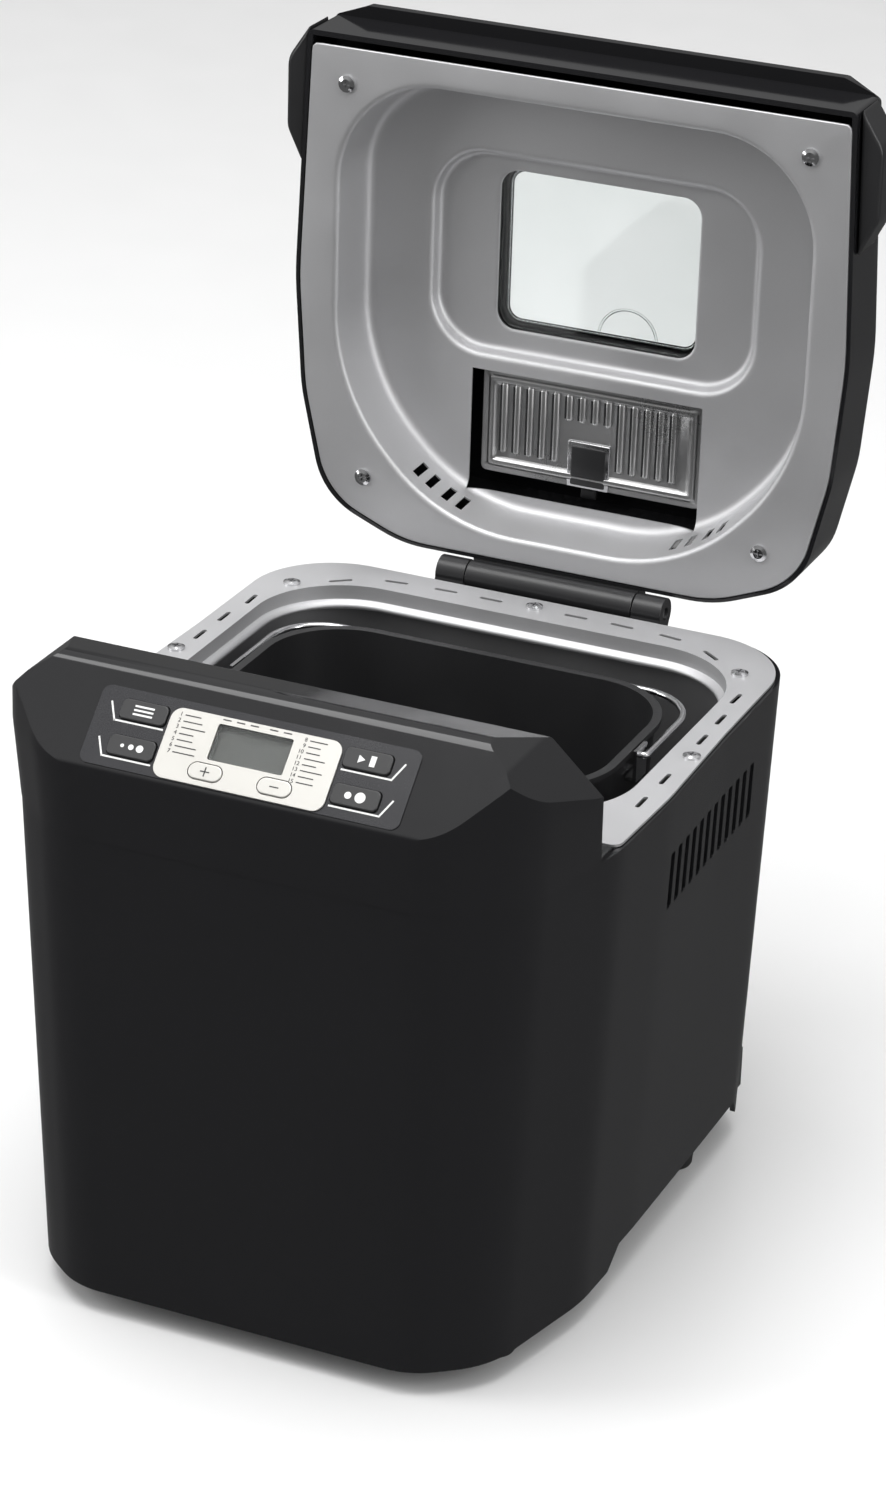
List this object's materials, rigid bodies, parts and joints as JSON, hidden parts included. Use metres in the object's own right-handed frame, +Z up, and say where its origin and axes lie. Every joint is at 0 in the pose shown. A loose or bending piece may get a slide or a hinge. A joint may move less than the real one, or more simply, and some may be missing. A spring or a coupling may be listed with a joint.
{
  "type": "bread machine",
  "caption": "Countertop bread machine with a sloping control panel at the front, a rear-hinged windowed lid and a lift-out bread pan with kneading paddle.",
  "frame": {"origin": "on the floor under the middle of the whole object with its lid standing open", "axes": "+Z up, +X to the right seen from the front, -Y towards the front with the control panel"},
  "size_m": [0.289, 0.3848, 0.492],
  "materials": {
    "black_gloss": "polished",
    "black_satin": "satin",
    "satin_aluminium": "satin",
    "galvanised_steel": "satin",
    "bright_steel": "polished",
    "non_stick": "satin",
    "cast_aluminium": "matte",
    "rubber": "matte",
    "silicone": "matte",
    "clear_glass": "clear",
    "silver_panel": "satin",
    "display": "gloss",
    "overlay_film": "satin",
    "circuit_board": "satin",
    "electronics": "satin",
    "ceramic": "matte",
    "heater_sheath": "matte",
    "bronze": "satin"
  },
  "bodies": {
    "root": {"main_housing": "black_gloss", "cord_gland": "rubber", "base_plate": "black_satin", "rubber_feet": "rubber", "deck_plate": "satin_aluminium", "housing_screws": "bright_steel", "chamber_liner": "galvanised_steel", "pan_seat": "galvanised_steel", "heating_element": "heater_sheath", "element_insulators": "ceramic", "temperature_sensor": "bright_steel", "thermal_fuse": "ceramic", "heat_shield": "galvanised_steel", "chassis_frame": "galvanised_steel", "drive_bearing_housing": "cast_aluminium", "drive_bushes": "bronze", "drive_belt": "rubber", "motor_covers": "cast_aluminium", "motor_stator": "galvanised_steel", "motor_mounts": "rubber", "power_board": "circuit_board", "power_components": "electronics", "control_panel_housing": "black_gloss", "control_overlay": "overlay_film", "display_bezel": "silver_panel", "display_lens": "clear_glass", "lcd_module": "display", "control_board": "circuit_board", "tactile_switches": "electronics", "hinge_bracket": "black_satin", "hinge_pin": "bright_steel"},
    "lid": {"hinge_knuckle": "black_satin", "lid_outer_shell": "black_gloss", "lid_inner_plate": "satin_aluminium", "lid_screws": "bright_steel", "window_gasket": "rubber", "window_inner_glass": "clear_glass", "window_outer_pane": "clear_glass", "vent_baffle": "bright_steel", "lid_vent_grille": "black_satin", "lid_grips": "black_satin"},
    "pan": {"bread_pan": "non_stick", "pan_handle_lugs": "bright_steel", "pan_base": "cast_aluminium", "shaft_seal": "silicone"},
    "handle": {"pan_handle": "bright_steel"},
    "pan_drive": {"pan_shaft": "bright_steel", "pan_coupling": "cast_aluminium"},
    "paddle": {"kneading_paddle": "non_stick"},
    "drive": {"driven_pulley": "black_satin", "drive_shaft": "bright_steel", "drive_coupling": "cast_aluminium"},
    "motor": {"motor_rotor": "galvanised_steel", "motor_pulley": "bright_steel"},
    "menu_button": {"menu_button": "black_satin"},
    "color_button": {"color_button": "black_satin"},
    "start_stop_button": {"start_stop_button": "black_satin"},
    "loaf_button": {"loaf_button": "black_satin"},
    "plus_button": {"plus_button": "silver_panel"},
    "minus_button": {"minus_button": "silver_panel"}
  },
  "joints": [
    {"name": "lid_hinge", "type": "hinge", "parent": "root", "child": "lid", "pos_m": [0, 0.141, 0.235], "axis": [-1, 0, 0], "range_deg": [-90, 0]},
    {"name": "pan_lift", "type": "slide", "parent": "root", "child": "pan", "axis": [0, 0, 1], "range_m": [0, 0.18]},
    {"name": "handle_swing", "type": "hinge", "parent": "pan", "child": "handle", "pos_m": [0, 0.008, 0.227], "axis": [1, 0, 0], "range_deg": [0, 180]},
    {"name": "motor_spin", "type": "hinge", "parent": "root", "child": "motor", "pos_m": [0.038, -0.136, 0], "axis": [0, 0, 1], "continuous": true},
    {"name": "drive_spin", "type": "hinge", "parent": "root", "child": "drive", "pos_m": [0, 0.008, 0], "axis": [0, 0, 1], "continuous": true},
    {"name": "pan_shaft_spin", "type": "hinge", "parent": "pan", "child": "pan_drive", "pos_m": [0, 0.008, 0], "axis": [0, 0, 1], "continuous": true},
    {"name": "paddle_lift", "type": "slide", "parent": "pan_drive", "child": "paddle", "axis": [0, 0, 1], "range_m": [0, 0.04]},
    {"name": "menu_press", "type": "slide", "parent": "root", "child": "menu_button", "axis": [0, 0.7071, -0.7071], "range_m": [0, 0.0008], "stiffness_N_per_m": 400},
    {"name": "color_press", "type": "slide", "parent": "root", "child": "color_button", "axis": [0, 0.7071, -0.7071], "range_m": [0, 0.0008], "stiffness_N_per_m": 400},
    {"name": "start_stop_press", "type": "slide", "parent": "root", "child": "start_stop_button", "axis": [0, 0.7071, -0.7071], "range_m": [0, 0.0008], "stiffness_N_per_m": 400},
    {"name": "loaf_press", "type": "slide", "parent": "root", "child": "loaf_button", "axis": [0, 0.7071, -0.7071], "range_m": [0, 0.0008], "stiffness_N_per_m": 400},
    {"name": "plus_press", "type": "slide", "parent": "root", "child": "plus_button", "axis": [0, 0.7071, -0.7071], "range_m": [0, 0.0008], "stiffness_N_per_m": 400},
    {"name": "minus_press", "type": "slide", "parent": "root", "child": "minus_button", "axis": [0, 0.7071, -0.7071], "range_m": [0, 0.0008], "stiffness_N_per_m": 400}
  ],
  "couplings": [
    {"joint": "drive_spin", "follows": "motor_spin", "ratio": 0.25},
    {"joint": "pan_shaft_spin", "follows": "motor_spin", "ratio": 0.25}
  ]
}
